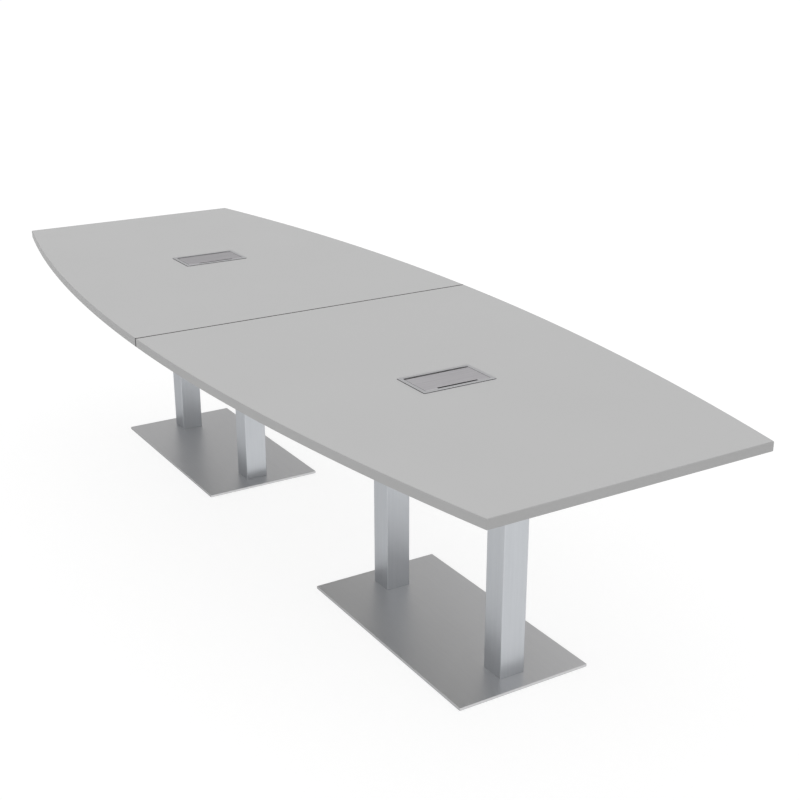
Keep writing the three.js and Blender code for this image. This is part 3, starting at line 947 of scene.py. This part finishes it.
def inlet_pins(half):
    """The metal sleeves on the pins of the power inlet, which faces -X."""
    low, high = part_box(f"power_inlet_{half}")
    centre = (low + high) / 2
    root = low.x + INLET_RECESS
    tip = root - INLET_PIN_LENGTH
    stations = ((root, 1), (tip + INLET_PIN_TAPER, 1), (tip - INLET_SLEEVE_WALL, INLET_PIN_TIP_SHARE))
    mesh = bmesh.new()
    for place in (-1, 0, 1):
        middle = centre.y + place * INLET_PIN_SPACING
        rings = []
        for x, share in stations:
            outline = rounded_rectangle(*(size * share for size in INLET_PIN), SMALL_CORNER, EDGE_STEPS)
            rings.append([(x, middle + y, centre.z + z) for y, z in outline])
        loft(rings, mesh=mesh)
    piece(f"inlet_pins_{half}", mesh, "zinc_steel")


# Stage


def seen_rays(tree):
    """One for the rays that show a surface itself: from the camera, off gloss or through glass."""
    path = add_node(tree, "ShaderNodeLightPath").outputs
    seen = path["Is Camera Ray"]
    for name in ("Is Glossy Ray", "Is Transmission Ray"):
        either = add_node(tree, "ShaderNodeMath", {0: seen, 1: path[name]}, operation="MAXIMUM")
        seen = either.outputs["Value"]
    return seen


def white_floor():
    """A white that keeps a faint shadow where it is seen, and bounces light as a pale floor does."""
    material = bpy.data.materials.new("white_floor")
    material.use_nodes = True
    tree = material.node_tree
    tree.nodes.clear()
    plain = add_node(tree, "ShaderNodeBsdfDiffuse", {"Color": grey(FLOOR_BOUNCE)}).outputs["BSDF"]
    shade = add_node(tree, "ShaderNodeBsdfDiffuse", {"Color": grey(FLOOR_SHADE)}).outputs["BSDF"]
    glow = add_node(tree, "ShaderNodeEmission", {"Strength": FLOOR_GLOW}).outputs["Emission"]
    white = add_node(tree, "ShaderNodeAddShader", {0: shade, 1: glow}).outputs["Shader"]
    mix = add_node(tree, "ShaderNodeMixShader", {0: seen_rays(tree), 1: plain, 2: white})
    add_node(tree, "ShaderNodeOutputMaterial", {"Surface": mix.outputs["Shader"]})
    return material


def floor():
    mesh = bmesh.new()
    bmesh.ops.create_circle(mesh, cap_ends=True, segments=FLOOR_SIDES, radius=FLOOR_RADIUS)
    data = bpy.data.meshes.new("floor")
    mesh.to_mesh(data)
    mesh.free()
    data.materials.append(white_floor())
    made = bpy.data.objects.new("floor", data)
    made.location.z = -FLOOR_DROP
    scene.collection.objects.link(made)


def sky():
    """A grey sky that pales to the floor's white at the horizon."""
    world = bpy.data.worlds.new("studio")
    world.use_nodes = True
    scene.world = world
    tree = world.node_tree
    tree.nodes.clear()
    way = add_node(tree, "ShaderNodeTexCoord").outputs["Generated"]
    height = add_node(tree, "ShaderNodeSeparateXYZ", {"Vector": way}).outputs["Z"]
    start, end = HORIZON_RISE
    ends = {"From Min": start, "From Max": end, "To Min": HORIZON_LIGHT, "To Max": SKY_LIGHT}
    fade = add_node(
        tree, "ShaderNodeMapRange", {"Value": height, **ends}, interpolation_type="SMOOTHSTEP"
    )
    glow = {"Color": grey(1), "Strength": fade.outputs["Result"]}
    light = add_node(tree, "ShaderNodeBackground", glow)
    add_node(tree, "ShaderNodeOutputWorld", {"Surface": light.outputs["Background"]})


def sun():
    lamp = bpy.data.lights.new("softbox", "SUN")
    lamp.energy = SUN_LIGHT
    lamp.angle = SUN_SPREAD
    made = bpy.data.objects.new("softbox", lamp)
    made.rotation_euler = SUN_TILT
    scene.collection.objects.link(made)


def camera():
    data = bpy.data.cameras.new("camera")
    data.sensor_width = SENSOR_WIDTH
    data.lens = FOCAL_PIXELS / IMAGE_SIZE * SENSOR_WIDTH
    data.shift_x = (IMAGE_SIZE / 2 - AXIS_PIXEL_X) / IMAGE_SIZE
    data.shift_y = (AXIS_PIXEL_Y - IMAGE_SIZE / 2) / IMAGE_SIZE
    made = bpy.data.objects.new("camera", data)
    made.location = CAMERA_PLACE
    level = math.cos(VIEW_ELEVATION)
    forward = Vector((
        -math.sin(VIEW_AZIMUTH) * level,
        math.cos(VIEW_AZIMUTH) * level,
        -math.sin(VIEW_ELEVATION),
    ))
    made.rotation_mode = "QUATERNION"
    made.rotation_quaternion = forward.to_track_quat("-Z", "Y")
    scene.collection.objects.link(made)
    scene.camera = made


def main():
    scene.view_settings.view_transform = "Standard"
    camera()
    floor()
    sky()
    sun()
    group = smooth_group()
    for row in frame["record"]["subparts"]:
        dress(row["node"], finishes[row["material_slot"]], group)
    for place in SEAM_PLATES:
        seam_screws(place)
    for half in HALVES:
        end_band(half)
        shade_gasket(half)
        lid(half)
        lid_shade_seals(half)
        outlet_screws(half)
        usb_ports(half)
        inlet_pins(half)
        for side in SIDES:
            side_band(half, side)
            clamp_screws(half, side)
            socket_contacts(half, side)
        for place in PLACES:
            post(half, place)
            tie_rod(half, place)
            cap_screws(half, place)
            for side in SIDES:
                glide(half, place, side)


main()
